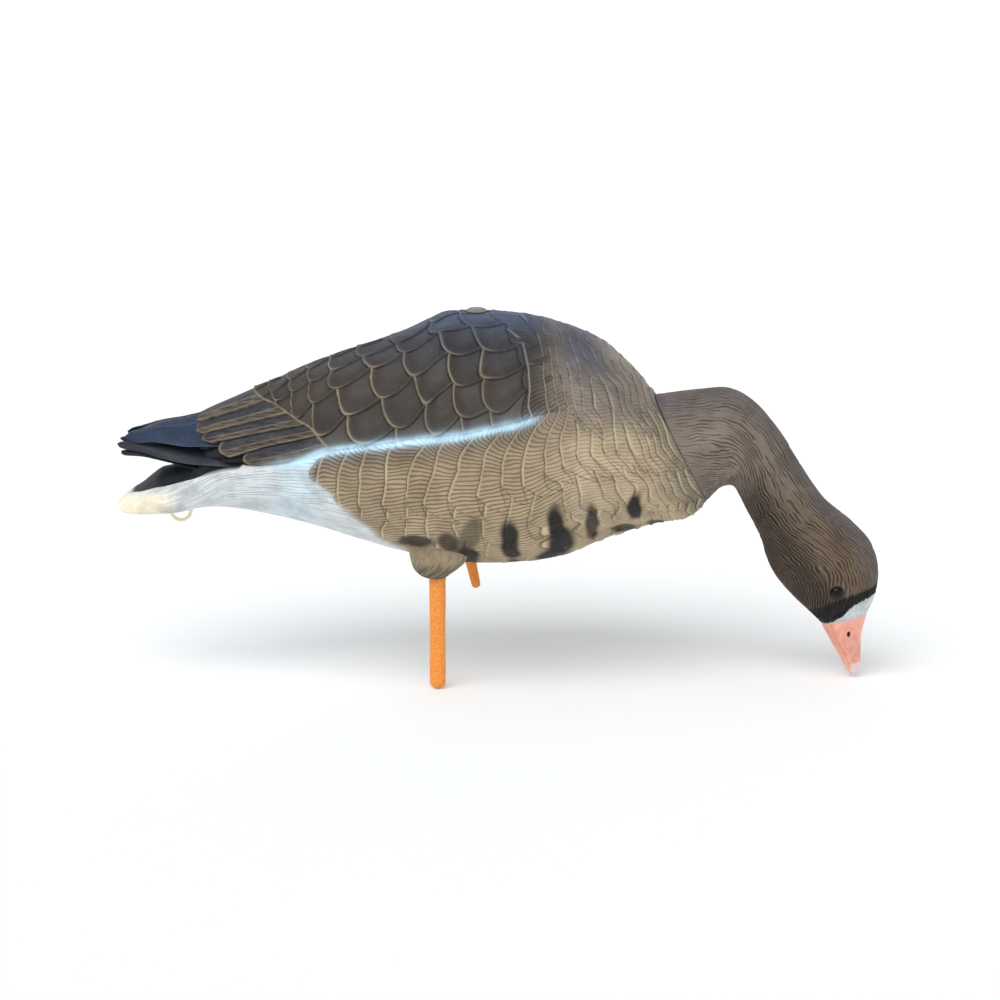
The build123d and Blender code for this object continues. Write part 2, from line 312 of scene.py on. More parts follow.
# Airbrushed moulding: the painted colours, combed barbs with painted shade in their grooves, pores and worn
# speckle
def paintedMoulding(name, barbDepth=0.6, gloss=0.62):
    w = Wiring(name)
    paint = w.colour("paint")
    comb = w.math("SINE", w.math("MULTIPLY", w.value("barb"), 6.2832))
    groove = w.math("MULTIPLY", w.ramp(comb, 0.05, 0.95), w.value("comb"))
    # painted shade: the barb grooves are darkened in the colour
    paint = w.blend(paint, (0.24, 0.21, 0.19), w.math("MULTIPLY", groove, 0.72), "MULTIPLY")
    paint = w.blend(paint, (0.78, 0.76, 0.74), w.ramp(w.noise(60, 4), 0.42, 0.66), "MULTIPLY")
    paint = w.blend(paint, (1.25, 1.22, 1.18), w.ramp(w.noise(900, 2), 0.56, 0.75, 0, 0.5), "MULTIPLY")
    w.join(paint, w.shader.inputs["Base Color"])
    w.join(w.ramp(w.noise(220, 3), 0.3, 0.7, gloss - 0.08, gloss + 0.1), w.shader.inputs["Roughness"])
    pores = w.bump(w.noise(1400, 2), 0.12, 0.35)
    w.join(w.bump(w.math("MULTIPLY", groove, -1), barbDepth, 0.9, pores), w.shader.inputs["Normal"])
    w.shader.inputs["Specular IOR Level"].default_value = 0.35
    return w.material


# Plain moulded or metal finish with mottling, fine grain and a little wear
def plainFinish(name, colour, roughness=0.5, metal=0.0, grain=800, stretch=(1, 1, 1), depth=0.08, wear=0.2):
    w = Wiring(name)
    shade = w.ramp(w.noise(90, 4), 0.35, 0.7)
    base = w.blend(tuple(colour), tuple(np.clip(colour * (1 - wear), 0, 1)), shade)
    w.join(base, w.shader.inputs["Base Color"])
    uneven = w.ramp(w.noise(grain, 3, stretch), 0.3, 0.7, roughness - 0.08, roughness + 0.1)
    w.join(uneven, w.shader.inputs["Roughness"])
    w.join(w.bump(w.noise(grain, 3, stretch), depth, 0.5), w.shader.inputs["Normal"])
    w.shader.inputs["Metallic"].default_value = metal
    return w.material


skinPaint = paintedMoulding("bodyPaint")
neckPaint = paintedMoulding("neckPaint", barbDepth=0.3)
quillPaint = paintedMoulding("quillPaint", barbDepth=0.15, gloss=0.42)
print("materials ready")

# Body: one moulding from the breast's rim to the tail's tip, painted and carved by zones

bodyForm = {
    "rows": 600, "columns": 442, "heart": (0, 0, 100),
    # top x, z, bottom x, z, half width, squareness of top and of bottom, dish under the tail
    "stations": [
        (159, 152, 207, 58, 46, 1, 1, 0),
        (137, 178.5, 190, 43, 62, 1, 1, 0),
        (109, 203, 163, 38, 76, 1, 1, 0),
        (73, 217.5, 120, 25, 88, 1, 1, 0),
        (46, 224, 75, 7, 95, 1, 1, 0),
        (19, 227, 30, 1, 99, 1, 1, 0),
        (-10, 228, -8, 1, 100, 1, 1, 0),
        (-28, 227.6, -35, 4, 99, 1, 1, 0),
        (-44, 221, -55, 9, 97, 1, 1, 0),
        (-71, 209.2, -75, 13.5, 94, 1, 1, 0),
        (-116, 194, -100, 21, 89, 1, 1, 0),
        (-161, 176, -135, 32, 80, 1, 1, 0),
        (-210, 154.5, -172, 42, 66, 1, 0.95, 0),
        (-256, 131.5, -205, 48, 54, 1, 0.88, 1),
        (-265, 108, -232, 50.5, 51, 0.95, 0.8, 3),
        (-276, 93, -256, 51, 49, 0.9, 0.75, 5),
        (-290, 83, -280, 50.5, 46, 0.9, 0.75, 5),
        (-303, 72, -300, 49.5, 41, 0.9, 0.78, 4),
        (-313, 63, -313, 49, 33, 0.9, 0.85, 2),
        (-319.5, 57, -319.5, 49.5, 21, 0.9, 0.9, 1),
        (-321.8, 54, -321.8, 50.5, 8, 1, 1, 0),
        (-322, 52.5, -322, 51.5, 1.5, 1, 1, 0),
    ],
    "droop": {"x": (-225, -275), "depth": 8.5},     # how far the tail's sides hang below its middle
    "strips": [("Back", 0, 147), ("Flank", 147, 294), ("Belly", 294, 441)],
    "capDip": {"radius": 9.6, "floor": 227.5},
}
# Lines on the side view, each as x and height
wingEdge = {"x": [-211, -193, -168, -150, -134, -98, -53, -8, 37, 60, 90],
            "z": [88, 86, 88.5, 93, 99, 103.5, 110.5, 115, 126, 133.5, 138]}
flankRear = {"z": [10, 22, 44, 62, 72, 81, 91, 100], "x": [-62, -87, -111, -129, -141, -145, -139, -120]}
wingFront = {"z": [120, 140, 165, 185, 205, 232], "x": [48, 50, 50, 44, 34, 22]}
quillStart = {"z": [88, 104, 112, 120, 132, 144, 162, 190],
              "x": [-118, -133, -139, -145, -164, -184, -205, -236]}
quillForm = {
    "x": [-262, -249, -218, -184, -155, -134, -90],
    # Upper outline and the lower edge of each long feather, from the rear to the front
    "z": [(134, 142, 156, 171, 184, 194, 214), (127, 128.5, 136.5, 147, 158, 168, 190),
          (113, 114, 121, 128.5, 135, 142, 160), (103, 104, 109.5, 116.7, 121.5, 127, 140),
          (91, 91.5, 93, 103, 109, 114, 126), (80, 81, 84, 86.2, 92, 99, 104)],
    "tips": [-259, -252, -244, -228, -206],
}
tailRim = {"x": [-324, -308, -271, -222, -212, -204], "z": [53, 63, 69.6, 80.6, 82, 87]}
# Each tier of feathers: lower ends below the wing's edge on the flank and in front, spacing,
# raggedness, seed
tiers = [
    (420, 420, 1.15, 0, 11), (164, 146, 1.1, 12, 12), (122, 106, 1.05, 14, 13), (80, 66, 1.0, 12, 14),
    (-80, 16, 1.05, 34, 15), (-130, -34, 1.1, 34, 16), (-180, -74, 1.1, 30, 17),
]
# Dark bars on the belly: x, height, half width, half height, lean, strength
barSpots = [
    (139.5, 51.5, 5.5, 10.5, 0.1, 1), (102, 36.5, 4.8, 13, -0.05, 0.9), (70, 35, 6.5, 14, -0.1, 1),
    (75, 17, 10, 13, 0, 1), (66, 3, 10, 8, 0, 1), (30, 17, 7, 17, -0.12, 1), (-6, 22, 8, 13, 0.1, 0.6),
    (-8, 5, 9, 10, -0.4, 1), (-24, 17, 7, 7, -0.3, 0.85), (-57, 19, 13, 4.5, -0.5, 0.9),
    (130, 31, 9, 3, 0.4, 0.9), (160, 36.5, 8, 1.6, 0.1, 0.8),
]
tone = {
    # The bluish top of the back on the next line is painted sky reflection
    "backTopSkySheen": tint(74, 84, 108), "backMid": tint(62, 61, 66), "wing": tint(66, 59, 53),
    "wingLow": tint(76, 71, 64),
    # The grey-blue rim tone high up on the next line is painted sky reflection
    "rim": tint(160, 142, 116), "rimTopSkyTinted": tint(112, 112, 118), "rimFront": tint(156, 148, 140),
    # The dark grey for the top of the front has a blue tint that is painted sky reflection
    "frontTopSkyTinted": tint(84, 85, 95),
    "frontMid": tint(138, 127, 115), "flankTop": tint(118, 104, 90), "flank": tint(172, 153, 124),
    "breast": tint(190, 171, 142), "belly": tint(188, 170, 138), "collar": tint(142, 130, 114),
    # The blue white on the next line is the white flank stripe with painted sky reflection
    "pale": tint(206, 190, 158), "white": tint(220, 226, 228), "skyTintedWhite": tint(202, 236, 255),
    # The warm cream on the next line, for the tail's tip, is painted sunlight
    "tailTipSunGlow": tint(252, 242, 216), "black": tint(9, 9, 10), "slate": tint(58, 57, 62),
    "rust": tint(102, 89, 74),
    # The last near-black on the next line is painted shadow under overlapping edges and in gaps
    "gold": tint(146, 128, 100), "inkBlue": tint(34, 38, 46), "gap": tint(10, 10, 11),
}


# Base colour of the moulding by place, before any feather is drawn
def bodyGround(x, z, aboveWing, wingMask, wander):
    up = mix(tone["wingLow"], tone["wing"], ease(aboveWing, 6, 34)[..., None])
    up = brush(up, tone["backMid"], ease(z, 158, 196))
    # painted sky reflection: the top of the back turns bluish
    up = brush(up, tone["backTopSkySheen"], ease(z, 196, 225))
    down = mix(tone["flank"], tone["breast"], ease(x, 10, 110)[..., None])
    down = brush(down, tone["belly"], 0.7 * ease(60 - z, 0, 50))
    down = brush(down, tone["flankTop"], 0.9 * ease(aboveWing + 5 * wander, -34, -4) * ease(100 - x, 0, 60))
    front = brush(down, tone["frontMid"], ease(z, 100, 140))
    # dark grey at the top of the front, its blue tint painted sky reflection
    front = brush(front, tone["frontTopSkyTinted"], ease(z + 0.25 * x, 168, 220))
    down = mix(down, front, ease(x, 50, 85)[..., None])
    down = brush(down, tone["collar"], 0.85 * ease(x + 0.51 * z, 196, 222))
    return mix(down, up, wingMask[..., None])


# Height and colour of the body's surface. Each zone carves its own feathers over one ground of paint.
def carveBody(points, arc, edgeArc, slantX):
    x, z = sideView(points)
    below = np.interp(x, wingEdge["x"], wingEdge["z"])
    aboveWing = z - below
    fall = arc - edgeArc
    wander = cloud(x / 26, arc / 26, 3)
    sway = cloud(x / 60, arc / 60, 4)
    ripple = cloud(x / 12, arc / 12, 5)

    # Scalloped wing feathers on a slanted net: their tips point back and well down
    turn, long, wide = 1.03, 21.6, 42.8
    tight = 1 + 0.3 * ease(x, 20, 80) + 0.25 * ease(-x, 120, 200)
    u = (-(x - 20) * np.cos(turn) + arc * np.sin(turn)) / long * tight + 0.5 * wander + 0.12 * ripple
    v = ((x - 20) * np.sin(turn) + arc * np.cos(turn)) / wide * tight + 0.4 * sway
    inside, past, across, chance, (ownU, ownV) = shingles(u, v, long, wide, 2.0)
    middleX = 20 + (-ownU * long * np.cos(turn) + ownV * wide * np.sin(turn)) / tight
    front = middleX > np.interp(z, wingFront["z"], wingFront["x"])
    wingMask = ease(aboveWing, -1.5, 1.0) * (1 - front)
    ground = bodyGround(x, z, aboveWing, ease(aboveWing, -1.5, 1.0) * (1 - ease(x, 44, 92)), wander)
    high = ease(z, 165, 212)
    # rims high up turn grey-blue: painted sky reflection
    rim = mix(tone["rim"], tone["rimTopSkyTinted"], high[..., None])
    wingRise = 1.3 * np.exp(-inside / 8) + 0.5 * line(inside - 1.2, 0.8) - 0.9 * line(past, 1.0)
    wing = ground * (0.84 + 0.3 * chance + 0.4 * sway)[..., None]
    wing = brush(wing, wing * 0.62, 0.55 * ease(inside, 2, 6) * (1 - ease(inside, 6, 20)))
    rearSide = 1 - 0.8 * ease(across + 0.2 * ripple, -0.02, 0.28)
    wing = brush(wing, rim, mix(0.95, 0.6, high) * line(inside - 1.2, 0.8) * (0.85 + wander) * rearSide)
    wing = brush(wing, wing * 0.45, 0.8 * line(inside - 2.2, 2.2) * (1 - rearSide))
    # painted shadow just past each feather's tip, where it lies over the next
    wing = brush(wing, tone["gap"], 0.8 * line(past, 0.95))
    wingComb = 0.5 * ease(inside, 2, 4) * (1 - ease(inside, 8, 18)) * (0.7 + wander)
    wingBarb = across * 26 + 1.2 * wander

    # Long rear feathers of the wing: slate above and rusty below, with gold edges and stepped round tips
    edges = [np.interp(x, quillForm["x"], heights) for heights in quillForm["z"]]
    band = np.clip(sum([np.clip((a - z) / (a - b), 0, 1) for a, b in zip(edges[:-1], edges[1:])]), 0, 4.999)
    number = np.floor(band)
    within = band - number
    tip = np.array(quillForm["tips"])[number.astype(int)] + 7 * np.abs(2 * within - 0.8) ** 2.4
    toTip = x - tip
    streak = cloud(x / 9, z * 1.3, 12) + 0.6 * cloud(x / 4, z * 2.2, 13)
    middle = 0.6 + 0.08 * wander
    quillRise = 1.1 * within + 0.4 * line(within - middle, 0.06) - 1.5 * line(within, 0.07)
    quillRise = quillRise - 0.4 * ease(within, 0.96, 1)
    quill = tone["slate"] * (0.9 + 0.9 * streak)[..., None]
    worn = ease(within + 0.35 * streak, middle - 0.02, middle + 0.2)
    quill = brush(quill, tone["rust"] * (0.85 + 1.3 * streak)[..., None], 0.62 * worn)
    patchy = 0.7 + 0.9 * cloud(x / 14, z / 5, 14)
    goldLines = 0.75 * line(within - middle, 0.035) + 0.9 * line(within - 0.93, 0.035)
    quill = brush(quill, tone["gold"], goldLines * patchy)
    quill = brush(quill, tone["gold"], 0.7 * line(toTip - 1.4, 1.1))
    # painted sky reflection: the upper long feathers turn bluish
    quill = brush(quill, tone["backTopSkySheen"], 0.45 * ease(z, 150, 185))
    # painted shadow under the lower edge of the band above
    quill = brush(quill, tone["gap"], 0.85 * line(within, 0.05))
    quillSide = np.interp(z, quillStart["z"], quillStart["x"]) - x + 5 * wander
    quillMask = ease(quillSide, -0.8, 0.8) * ease(aboveWing, -2.2, -0.4)
    startLine = line(quillSide + 1.2, 1.3) * ease(aboveWing, -1, 2) * (1 - ease(z, 165, 190))

    # Tall combed feathers of the flank and breast, tier over tier, fanning from the wing's front corner
    frontness = ease(x, 40, 95)
    reach = (16 + 20 * ease(x, -90, 40)) * (1 - ease(x, 40, 105))
    lean = reach * np.exp(-np.where(fall > 0, fall / 17, -fall / 90))
    steep = -lean / np.where(fall > 0, 17, -90)
    along = np.interp(mix(x, slantX, frontness), [-250, 60, 100, 140, 210], [-12.2, 2.9, 5.6, 9.2, 18.5])
    pitch = np.interp(x, [50, 100, 140, 190], [20.5, 14.5, 10.5, 7.5])
    warp = mix(0.5, 0.95, frontness) * cloud(x / 24, fall / mix(34, 19, frontness), 6) + 0.3 * sway
    warp = warp + mix(0.1, 0.3, frontness) * cloud(x / 12, fall / 11, 7)
    flankRise, rims, shadowLines = 0 * x, 0 * x, 0 * x
    flankComb, flankBarb, flankChance = 0 * x, 0 * x, 0 * x
    for lowFlank, lowFront, spread, ragged, seed in tiers:
        low = mix(lowFlank, lowFront, frontness)
        curl = 8 * np.clip(1 - (low - fall) / 26, 0, 1.4) ** 2
        own = (along - (lean + curl) / pitch) / spread + 0.37 * seed + warp
        near, ahead, end, chance = curtain(own, fall, pitch * spread, low, ragged, seed)
        shown = ease(end, -0.35, 0.35)
        edge = np.minimum(near, 1.25 * np.clip(end, 0, 99) + 0.9)
        rise = 1.0 * np.exp(-edge / 5.5) + 0.75 * line(edge - 1.0, 0.75) - 0.8 * line(ahead, 0.9)
        flankRise = mix(flankRise - 0.9 * line(end, 1.1), rise, shown)
        rims = mix(rims, line(edge - 1.0, 0.85), shown)
        shadowLines = mix(np.maximum(shadowLines, line(end, 1.2)), line(ahead, 0.95), shown)
        flankComb = mix(flankComb, ease(edge, 1.5, 2.6) * ease(ahead, 0.3, 1.3), shown)
        combed = (fall + steep * near) / mix(4.1, 3.5, frontness) + 0.9 * ripple
        flankBarb = np.where(shown > 0.5, combed, flankBarb)
        flankChance = np.where(shown > 0.5, chance, flankChance)
    flank = ground * (0.93 + 0.14 * flankChance + 0.22 * wander)[..., None]
    paleRim = mix(tone["pale"], tone["rimFront"], ease(z, 105, 165)[..., None])
    # pale feather rims, grey-blue high up as painted sky reflection
    flank = brush(flank, mix(paleRim, tone["rimTopSkyTinted"] * 1.35, ease(z, 160, 215)[..., None]), 0.72 * rims)
    # painted shadow along each feather's overlapped edge and under its end
    flank = brush(flank, flank * 0.28, 0.95 * shadowLines * (1 - 0.25 * ease(z, 150, 215)))
    flankComb = flankComb * (1 - 0.72 * ease(z, 128, 178)) * (0.95 + 0.5 * wander) * (1 - 0.5 * frontness)

    # White rump and tail: fine wavy grooves along the body with painted shade in them, and painted warm
    # sunlight at the very end
    share = arc / arc[:, -1:]
    rumpBarb = share * 74 + 0.9 * cloud(x / 30, arc / 16, 8) + 0.45 * cloud(x / 9, arc / 5, 9)
    breaks = ease(cloud(x / 14 + 3.7 * np.floor(rumpBarb), np.floor(rumpBarb) * 1.3, 10), -0.3, 0.1)
    groove = ease(np.sin(rumpBarb * 2 * np.pi), 0.0, 0.9) * breaks * ease(x, -306, -270)
    # painted shade: grey in the grooves
    rump = mix(tone["white"], tone["white"] * 0.72, (0.8 * groove)[..., None])
    # painted sky reflection: a pale blue patch on the white rump
    rump = brush(rump, tone["skyTintedWhite"], 0.35 * line(x + 158 - 0.4 * (z - 60), 24))
    # painted sunlight: warm cream at the tail's tip
    rump = brush(rump, tone["tailTipSunGlow"], ease(-x + 6 * wander, 258, 290) * (0.3 + 0.7 * ease(61 - z, -3, 7)))
    behindFlank = np.interp(z, flankRear["z"], flankRear["x"]) - x
    rumpMask = ease(behindFlank + 5 * ripple, -5, 6) * ease(-aboveWing, -1.5, 1.5)

    rise = mix(mix(flankRise, wingRise, wingMask), -0.45 * groove, rumpMask)
    colour = brush(brush(flank, wing, wingMask), rump, rumpMask)
    comb = mix(mix(flankComb, wingComb, wingMask), 0.16 * breaks * ease(x, -306, -270), rumpMask)
    barb = np.where(rumpMask > 0.5, rumpBarb, np.where(wingMask > 0.5, wingBarb, flankBarb))
    rise = mix(rise, quillRise, quillMask)
    colour = brush(colour, quill, quillMask)
    comb = comb * (1 - quillMask)
    rise = rise + 1.1 * startLine
    colour = brush(colour, tone["rim"], 0.85 * startLine)

    # Groove and white stripe along the wing's lower edge, soft like an airbrush; the white stripe is real
    # and its blue tint is painted sky reflection
    fade = ease(66 - x, 0, 34) * ease(x, -196, -150)
    rise = rise - 1.4 * line(aboveWing + 1.5, 1.7) * ease(60 - x, 0, 15) * ease(x, -205, -190)
    skyTintedWhite = line(aboveWing + 2.2 - 3 * wander, 3.9) + 0.15 * line(aboveWing + 2, 8)
    skyTintedWhite = skyTintedWhite * fade * (0.9 + 0.5 * ripple)
    colour = brush(colour, tone["skyTintedWhite"], 1.2 * skyTintedWhite)
    comb = comb * (1 - 0.6 * np.clip(skyTintedWhite, 0, 1))

    # Dark belly bars with soft rims: the feather edges stay a little paler across them
    for bx, bz, bw, bh, tilt, strength in barSpots:
        dx = x - bx - tilt * (z - bz)
        away = np.sqrt((dx / bw) ** 2 + ((z - bz) / bh) ** 2) + 0.5 * ripple + 0.3 * wander
        dark = strength * (1 - ease(away, 0.75, 1.5)) * (1 - rumpMask)
        colour = brush(colour, tone["black"] * (1 + 2.5 * rims[..., None]), 0.97 * dark)
        comb = comb * (1 - 0.6 * dark)

    # Past the long feathers' tips the surface drops to the black top of the tail, with painted shadow just
    # past the tips
    border = z - np.interp(x, tailRim["x"], tailRim["z"])
    beyond = ease(-toTip, -0.3, 0.9) * ease(border, -0.7, 0.9) * ease(-x, 196, 204) * ease(x, -312, -307)
    depth = 5.5 + np.clip(-toTip, 0, 24) * 0.3
    rise = rise * (1 - beyond) - beyond * depth * ease(x, -286, -262)
    tailLines = ease(np.sin(arc / 2.6 + 3 * wander), 0.2, 0.9)
    colour = brush(colour, tone["inkBlue"] * (1 - 0.35 * tailLines[..., None]), beyond)
    # painted shadow just past the long feathers' tips
    colour = brush(colour, tone["gap"], 0.8 * beyond * (1 - ease(-toTip, 0, 10)))
    comb = comb * (1 - beyond)
    rise = rise * (1 - 0.65 * ease(30 - z, 0, 26) * (1 - beyond)) * (1 - 0.55 * ease(z + 0.35 * x, 195, 235))
    # The ridge behind the cap lies a little under the drawn outline
    rise = rise - 3.2 * ease(60 - arc, 0, 36) * ease(10 - x, 0, 60) * ease(x, -318, -300)
    return rise, np.clip(colour, 0, 1), np.clip(comb, 0, 1), barb


# Right half of a carved loft, its mirror image, and the strips that each is cut into
def makeHalves(points, colour, comb, barb, form, prefix, body, material, stands):
    for side, sign in (("right", 1), ("left", -1)):
        for part, first, last in form["strips"]:
            shown = np.s_[:, first:last + 1]
            strip = points[shown] * (1, sign, 1)
            numbers = {"comb": comb[shown].ravel(), "barb": barb[shown].ravel()}
            makePiece(side + prefix + part, strip.reshape(-1, 3), gridFaces(*strip.shape[:2]), body,
                      material, stands, colour[shown].reshape(-1, 3), numbers, heart=form["heart"])


def buildBody():
    t = evenStations(bodyForm["stations"], bodyForm["rows"])
    angle = np.linspace(0, np.pi, bodyForm["columns"])
    points = loft(bodyForm["stations"], t, angle)
    row = smoothRows(bodyForm["stations"], t)
    under = ease(-np.cos(angle), 0.2, 0.9)[None, :] * (1 - (points[..., 1] / row[:, None, 4]) ** 2)
    points[..., 2] += row[:, None, 7] * under
    droop = bodyForm["droop"]
    sagging = ease(-points[..., 0], -droop["x"][0], -droop["x"][1]) * (points[..., 1] / 47) ** 2
    points[..., 2] -= droop["depth"] * sagging
    normals = gridNormals(points)
    normals[:, (0, -1), 1] = 0
    arc = np.cumsum(np.linalg.norm(np.diff(points, axis=1, prepend=points[:, :1]), axis=2), axis=1)
    x, z = sideView(points)
    offEdge = np.abs(z - np.interp(x, wingEdge["x"], wingEdge["z"])) + 999 * (angle > 2.2)
    edgeArc = np.take_along_axis(arc, offEdge.argmin(1)[:, None], 1)
    kernel = np.ones(25) / 25
    edgeArc = np.convolve(np.pad(edgeArc[:, 0], 12, mode="edge"), kernel, "valid")[:, None]
    slantX = x[:, bodyForm["columns"] // 2][:, None] + 0 * x
    rise, colour, comb, barb = carveBody(points, arc, edgeArc, slantX)
    count = np.arange(len(t))
    rimFade = ease(count, 0, 6)[:, None] * ease(len(t) - 1 - count, 0, 5)[:, None]
    points = points + normals * (rise * rimFade)[..., None]
    points[:, (0, -1), 1] = 0
    dip = bodyForm["capDip"]
    away = np.hypot(points[..., 0], points[..., 1])
    sunk = (1 - ease(away, dip["radius"], dip["radius"] + 1.4)) * (points[..., 2] > 150)
    points[..., 2] = mix(points[..., 2], np.minimum(points[..., 2], dip["floor"]), sunk)
    # painted shadow: a dark ring round the back cap
    colour = brush(colour, tone["gap"], 0.85 * line(away - dip["radius"], 0.9) * (points[..., 2] > 150))
    # The rim turns in at the neck joint and runs a little way back inside, painted black as the shade inside
    # the joint
    centre = points[0].mean(0) * (1, 0, 1)
    inward = np.array([centre + (points[0] - centre) * 0.9 + (shift, 0, shift * 0.5) for shift in (0, -9)])
    last = np.tile(points[-1:].mean(1, keepdims=True) * (1, 0, 1), (1, len(angle), 1))
    points = np.concatenate([inward[::-1], points, last])
    # painted shade: the turned-in rows are black
    colour = np.concatenate([colour[:2] * 0 + tone["black"], colour, colour[-1:]])
    comb, barb = [np.concatenate([values[:2] * 0, values, values[-1:]]) for values in (comb, barb)]
    makeHalves(points, colour, comb, barb, bodyForm, "Body", "body", skinPaint,
               ["body_shell"])


buildBody()
print("body carved")

# Head and neck: one moulding that bends down to the bill

neckForm = {
    "rows": 520, "columns": 171, "heart": (265, 0, 60), "strips": [("", 0, 170)],
    "stations": [
        (159.2, 152.2, 207.3, 58.2, 45, 1, 1),
        (199, 157, 217.5, 69, 42, 1, 1),
        (226, 158, 226, 71.5, 39, 1, 1),
        (249, 145, 231, 69.5, 36, 1, 1),
        (271, 119, 235.5, 62, 33, 1, 1),
        (286, 95, 242, 49, 31, 1, 1),
        (300, 73, 248.5, 37, 31, 1, 1),
        (314, 55.5, 255.5, 22, 32, 1, 1),
        (335.5, 38, 261, 4, 34, 1, 1),
        (353.5, 18, 270, -13, 36, 1, 1),
        (360.5, -5, 284.5, -30, 34, 1, 1),
        (358.5, -29, 299.5, -44.5, 27, 1, 1),
        (351.5, -47, 311, -56, 17.5, 1, 1),
        (349, -54, 314, -60, 13, 1, 1),
    ],
    "eye": (322, 29.5, -20.5), "lid": 6.6,
    "bandTop": {"x": [300, 309, 321, 340, 356, 364], "z": [-44, -41.6, -35.5, -29.5, -22.5, -12]},
    "bandLow": {"x": [300, 311, 327, 337, 358, 364], "z": [-62, -60, -51, -40.5, -29, -22]},
}
billForm = {
    "rows": 170, "columns": 150,
    "stations": [
        (347, -43, 314, -50, 15.5, 1, 1),
        (351.4, -47, 310.4, -54, 18.0, 1, 1),
        (350.6, -51.5, 311.6, -58.5, 17.4, 1, 1),
        (348.4, -60, 316, -66.5, 15.2, 0.95, 0.95),
        (347.2, -69, 320.5, -75, 13.2, 0.9, 0.92),
        (346.8, -79, 325.8, -84, 11.3, 0.9, 0.92),
        (347, -90, 330.2, -92.5, 9.4, 0.9, 0.92),
        (346.4, -97, 333.4, -98.8, 7.3, 0.95, 0.95),
        (344.4, -101.6, 336.4, -102.6, 4.5, 1, 1),
        (341, -103.7, 338.8, -103.9, 0.9, 1, 1),
    ],
    "nostril": (335, -64), "nostrilSize": (1.7, 2.9),
}


# Neck feathers are wavy strands along the neck with dark grooves between, finer and shorter on the head
def carveNeck(points, run, arc):
    x, z = sideView(points)
    fine = ease(run, 170, 320)
    about = np.cos(arc / arc.max(1, keepdims=True) * np.pi)
    drift = cloud(run / 24, arc / 15, 21)
    barb = arc / 3.3 + 1.5 * drift + 0.8 * cloud(run / 9, arc / 9, 22) + 0.5 * cloud(run / 4.5, arc / 5, 26)
    barb = mix(barb, arc / 2.6 + 1.5 * drift + 0.9 * cloud(run / 5, arc / 5, 22), fine)
    strand = np.floor(barb + 0.25)
    breaks = ease(cloud(run / mix(8, 4.2, fine) + 5.3 * strand, strand * 1.7, 23), -0.22, 0.0)
    wave = np.sin(barb * 2 * np.pi)
    start = ease(run, 0, 30)
    strength = (0.2 + 0.8 * breaks) * mix(0.55, 1, start)
    groove = ease(wave, 0.15, 0.9) * strength
    crest = ease(-wave, 0.1, 0.9) * strength
    rise = 0.5 * crest - 0.8 * groove
    colour = mix(tint(128, 116, 105), tint(100, 82, 64), ease(run, 40, 200)[..., None])
    colour = brush(colour, tint(90, 86, 88), 0.8 * ease(about, 0.45, 0.95))
    colour = brush(colour, tint(101, 87, 73), fine * 0.8)
    colour = brush(colour, tint(44, 32, 23), 0.92 * ease(-about, -0.35, 0.55) * ease(run, 50, 110))
    colour = colour * (1 + 0.3 * drift + 0.12 * cloud(run / 3, arc / 2, 25))[..., None]
    colour = brush(colour, tint(144, 128, 108), 0.36 * crest)
    # Dark band and white patch round the bill's base
    ragged = 1.6 * cloud(run / 2.5, arc / 1.6, 24)
    top = np.interp(x, neckForm["bandTop"]["x"], neckForm["bandTop"]["z"]) + ragged
    low = np.interp(x, neckForm["bandLow"]["x"], neckForm["bandLow"]["z"]) + ragged
    face = ease(low - z, -0.6, 0.8)
    # painted shade: the white patch is darker in its grooves
    colour = brush(colour, tint(212, 218, 220) * (1 - 0.25 * groove[..., None]), face)
    dark = ease(top - z, -1.2, 1.2) * (1 - face) * ease(x, 290, 302)
    colour = brush(colour, tone["black"] * (1 + 0.8 * crest[..., None]), dark)
    rise = rise * (1 - 0.5 * face)
    comb = 0.95 * strength * (1 - 0.75 * face) * (1 - 0.5 * dark)
    # Socket and lid round the eye
    ex, ez = neckForm["eye"][::2]
    away = np.hypot(points[..., 0] - ex, points[..., 2] - ez) + 99 * (np.abs(points[..., 1]) < 12)
    lid = line(away - neckForm["lid"], 0.9)
    rise = rise * ease(away, 6.5, 10) + 0.9 * lid - 1.6 * (1 - ease(away, 4.6, 6.0))
    comb = comb * ease(away, 7, 9)
    colour = brush(colour, tint(46, 38, 32), 0.8 * line(away - neckForm["lid"] + 0.4, 1.4))
    return rise, np.clip(colour, 0, 1), np.clip(comb, 0, 1), barb


def buildNeck():
    t = evenStations(neckForm["stations"], neckForm["rows"])
    points = loft(neckForm["stations"], t, np.linspace(0, np.pi, neckForm["columns"]))
    normals = gridNormals(points)
    normals[:, (0, -1), 1] = 0
    arc = np.cumsum(np.linalg.norm(np.diff(points, axis=1, prepend=points[:, :1]), axis=2), axis=1)
    middle = points.mean(1)
    run = np.r_[0, np.cumsum(np.linalg.norm(np.diff(middle, axis=0), axis=1))][:, None] + 0 * arc
    rise, colour, comb, barb = carveNeck(points, run, arc)
    points = points + normals * rise[..., None]
    points[:, (0, -1), 1] = 0
    # The rim turns in at the joint, and the far end closes inside the bill
    centre = points[0].mean(0) * (1, 0, 1)
    first = centre + (points[0] - centre) * 0.9
    last = np.tile(points[-1].mean(0) * (1, 0, 1), (1, points.shape[1], 1))
    points = np.concatenate([first[None] + (7, 0, 3.5), first[None], points, last])
    # painted shade: the turned-in rim is black, as the shade inside the joint
    colour = np.concatenate([colour[:2] * 0 + tone["black"], colour, colour[-1:]])
    comb, barb = [np.concatenate([values[:2] * 0, values, values[-1:]]) for values in (comb, barb)]
    makeHalves(points, colour, comb, barb, neckForm, "NeckAndHead", "head", neckPaint,
               ["head_shell"])


